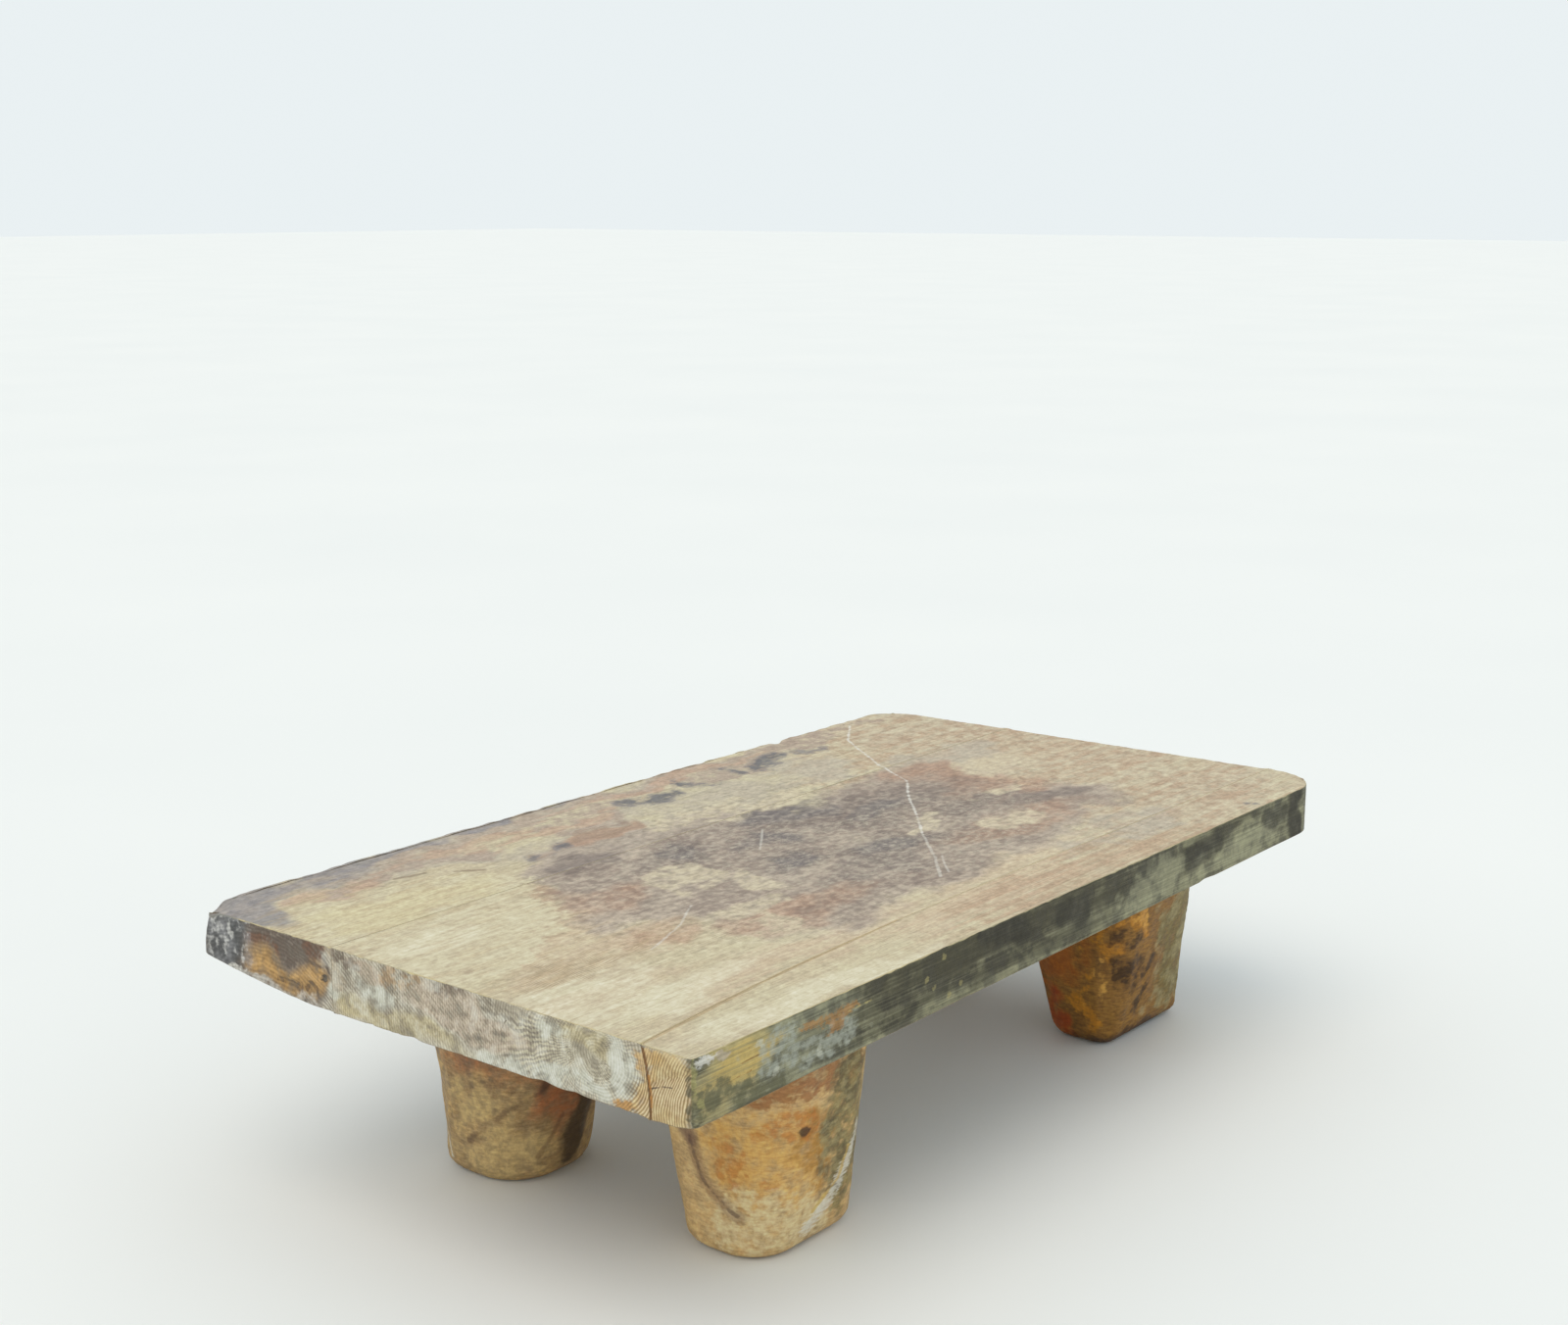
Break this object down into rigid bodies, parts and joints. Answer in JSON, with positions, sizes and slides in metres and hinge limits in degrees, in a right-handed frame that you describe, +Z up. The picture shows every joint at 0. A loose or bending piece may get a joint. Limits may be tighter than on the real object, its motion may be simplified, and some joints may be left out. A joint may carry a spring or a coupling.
{
  "type": "low table",
  "caption": "Low rustic wooden table: a thick slab top of edge-joined boards on tapered, hewn stub legs.",
  "frame": {"origin": "on the floor, under the middle of the top's bounding box", "axes": "+X along the table to the right of its front, +Y from the front strip to the back board, +Z up"},
  "size_m": [0.72, 0.4, 0.176],
  "materials": {
    "back_board_wood": "planed, unfinished, weathered",
    "middle_board_wood": "planed, unfinished, stained by use",
    "front_strip_wood": "planed above, weathered and mossy on its edge",
    "leg_wood": "hewn with the bark off, oiled by handling",
    "wedge_wood": "split",
    "peg_bamboo": "whittled"
  },
  "bodies": {
    "root": {"back_board": "back_board_wood", "middle_board": "middle_board_wood", "front_strip": "front_strip_wood", "front_left_leg": "leg_wood", "back_left_leg": "leg_wood", "front_right_leg": "leg_wood", "back_right_leg": "leg_wood", "front_left_wedge": "wedge_wood", "back_left_wedge": "wedge_wood", "front_right_wedge": "wedge_wood", "back_right_wedge": "wedge_wood", "back_joint_pegs": "peg_bamboo", "front_joint_pegs": "peg_bamboo"}
  },
  "joints": []
}
